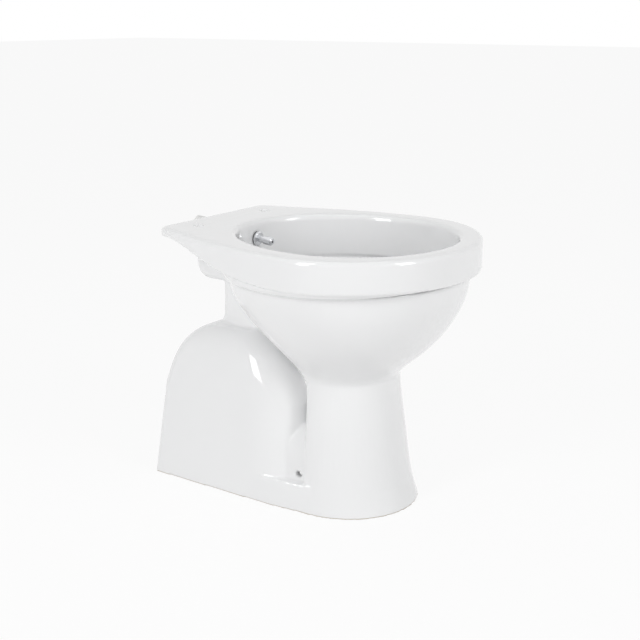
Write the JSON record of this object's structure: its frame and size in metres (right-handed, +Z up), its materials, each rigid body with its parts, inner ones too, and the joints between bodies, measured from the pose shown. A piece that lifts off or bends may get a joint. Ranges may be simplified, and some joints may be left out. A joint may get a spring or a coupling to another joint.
{
  "type": "bidet toilet",
  "caption": "Floor-standing ceramic toilet pan with a seat deck, a rear flush inlet, a floor outlet and a fixed bidet nozzle inside the rim.",
  "frame": {"origin": "on the floor, at the middle of the pan's width and length", "axes": "+Z up, -Y towards the front of the bowl, X across; X = 0 is the mirror plane"},
  "size_m": [0.3652, 0.47, 0.39],
  "materials": {
    "glazed_china": "glossy glaze",
    "chrome": "polished",
    "rubber": "matte",
    "white_plastic": "satin"
  },
  "bodies": {
    "root": {"pan": "glazed_china", "nozzle_barrel": "chrome", "nozzle_tip": "chrome", "nozzle_flange": "chrome", "front_washer": "rubber", "rear_washer": "rubber", "back_nut": "white_plastic", "supply_connector": "white_plastic"}
  },
  "joints": []
}
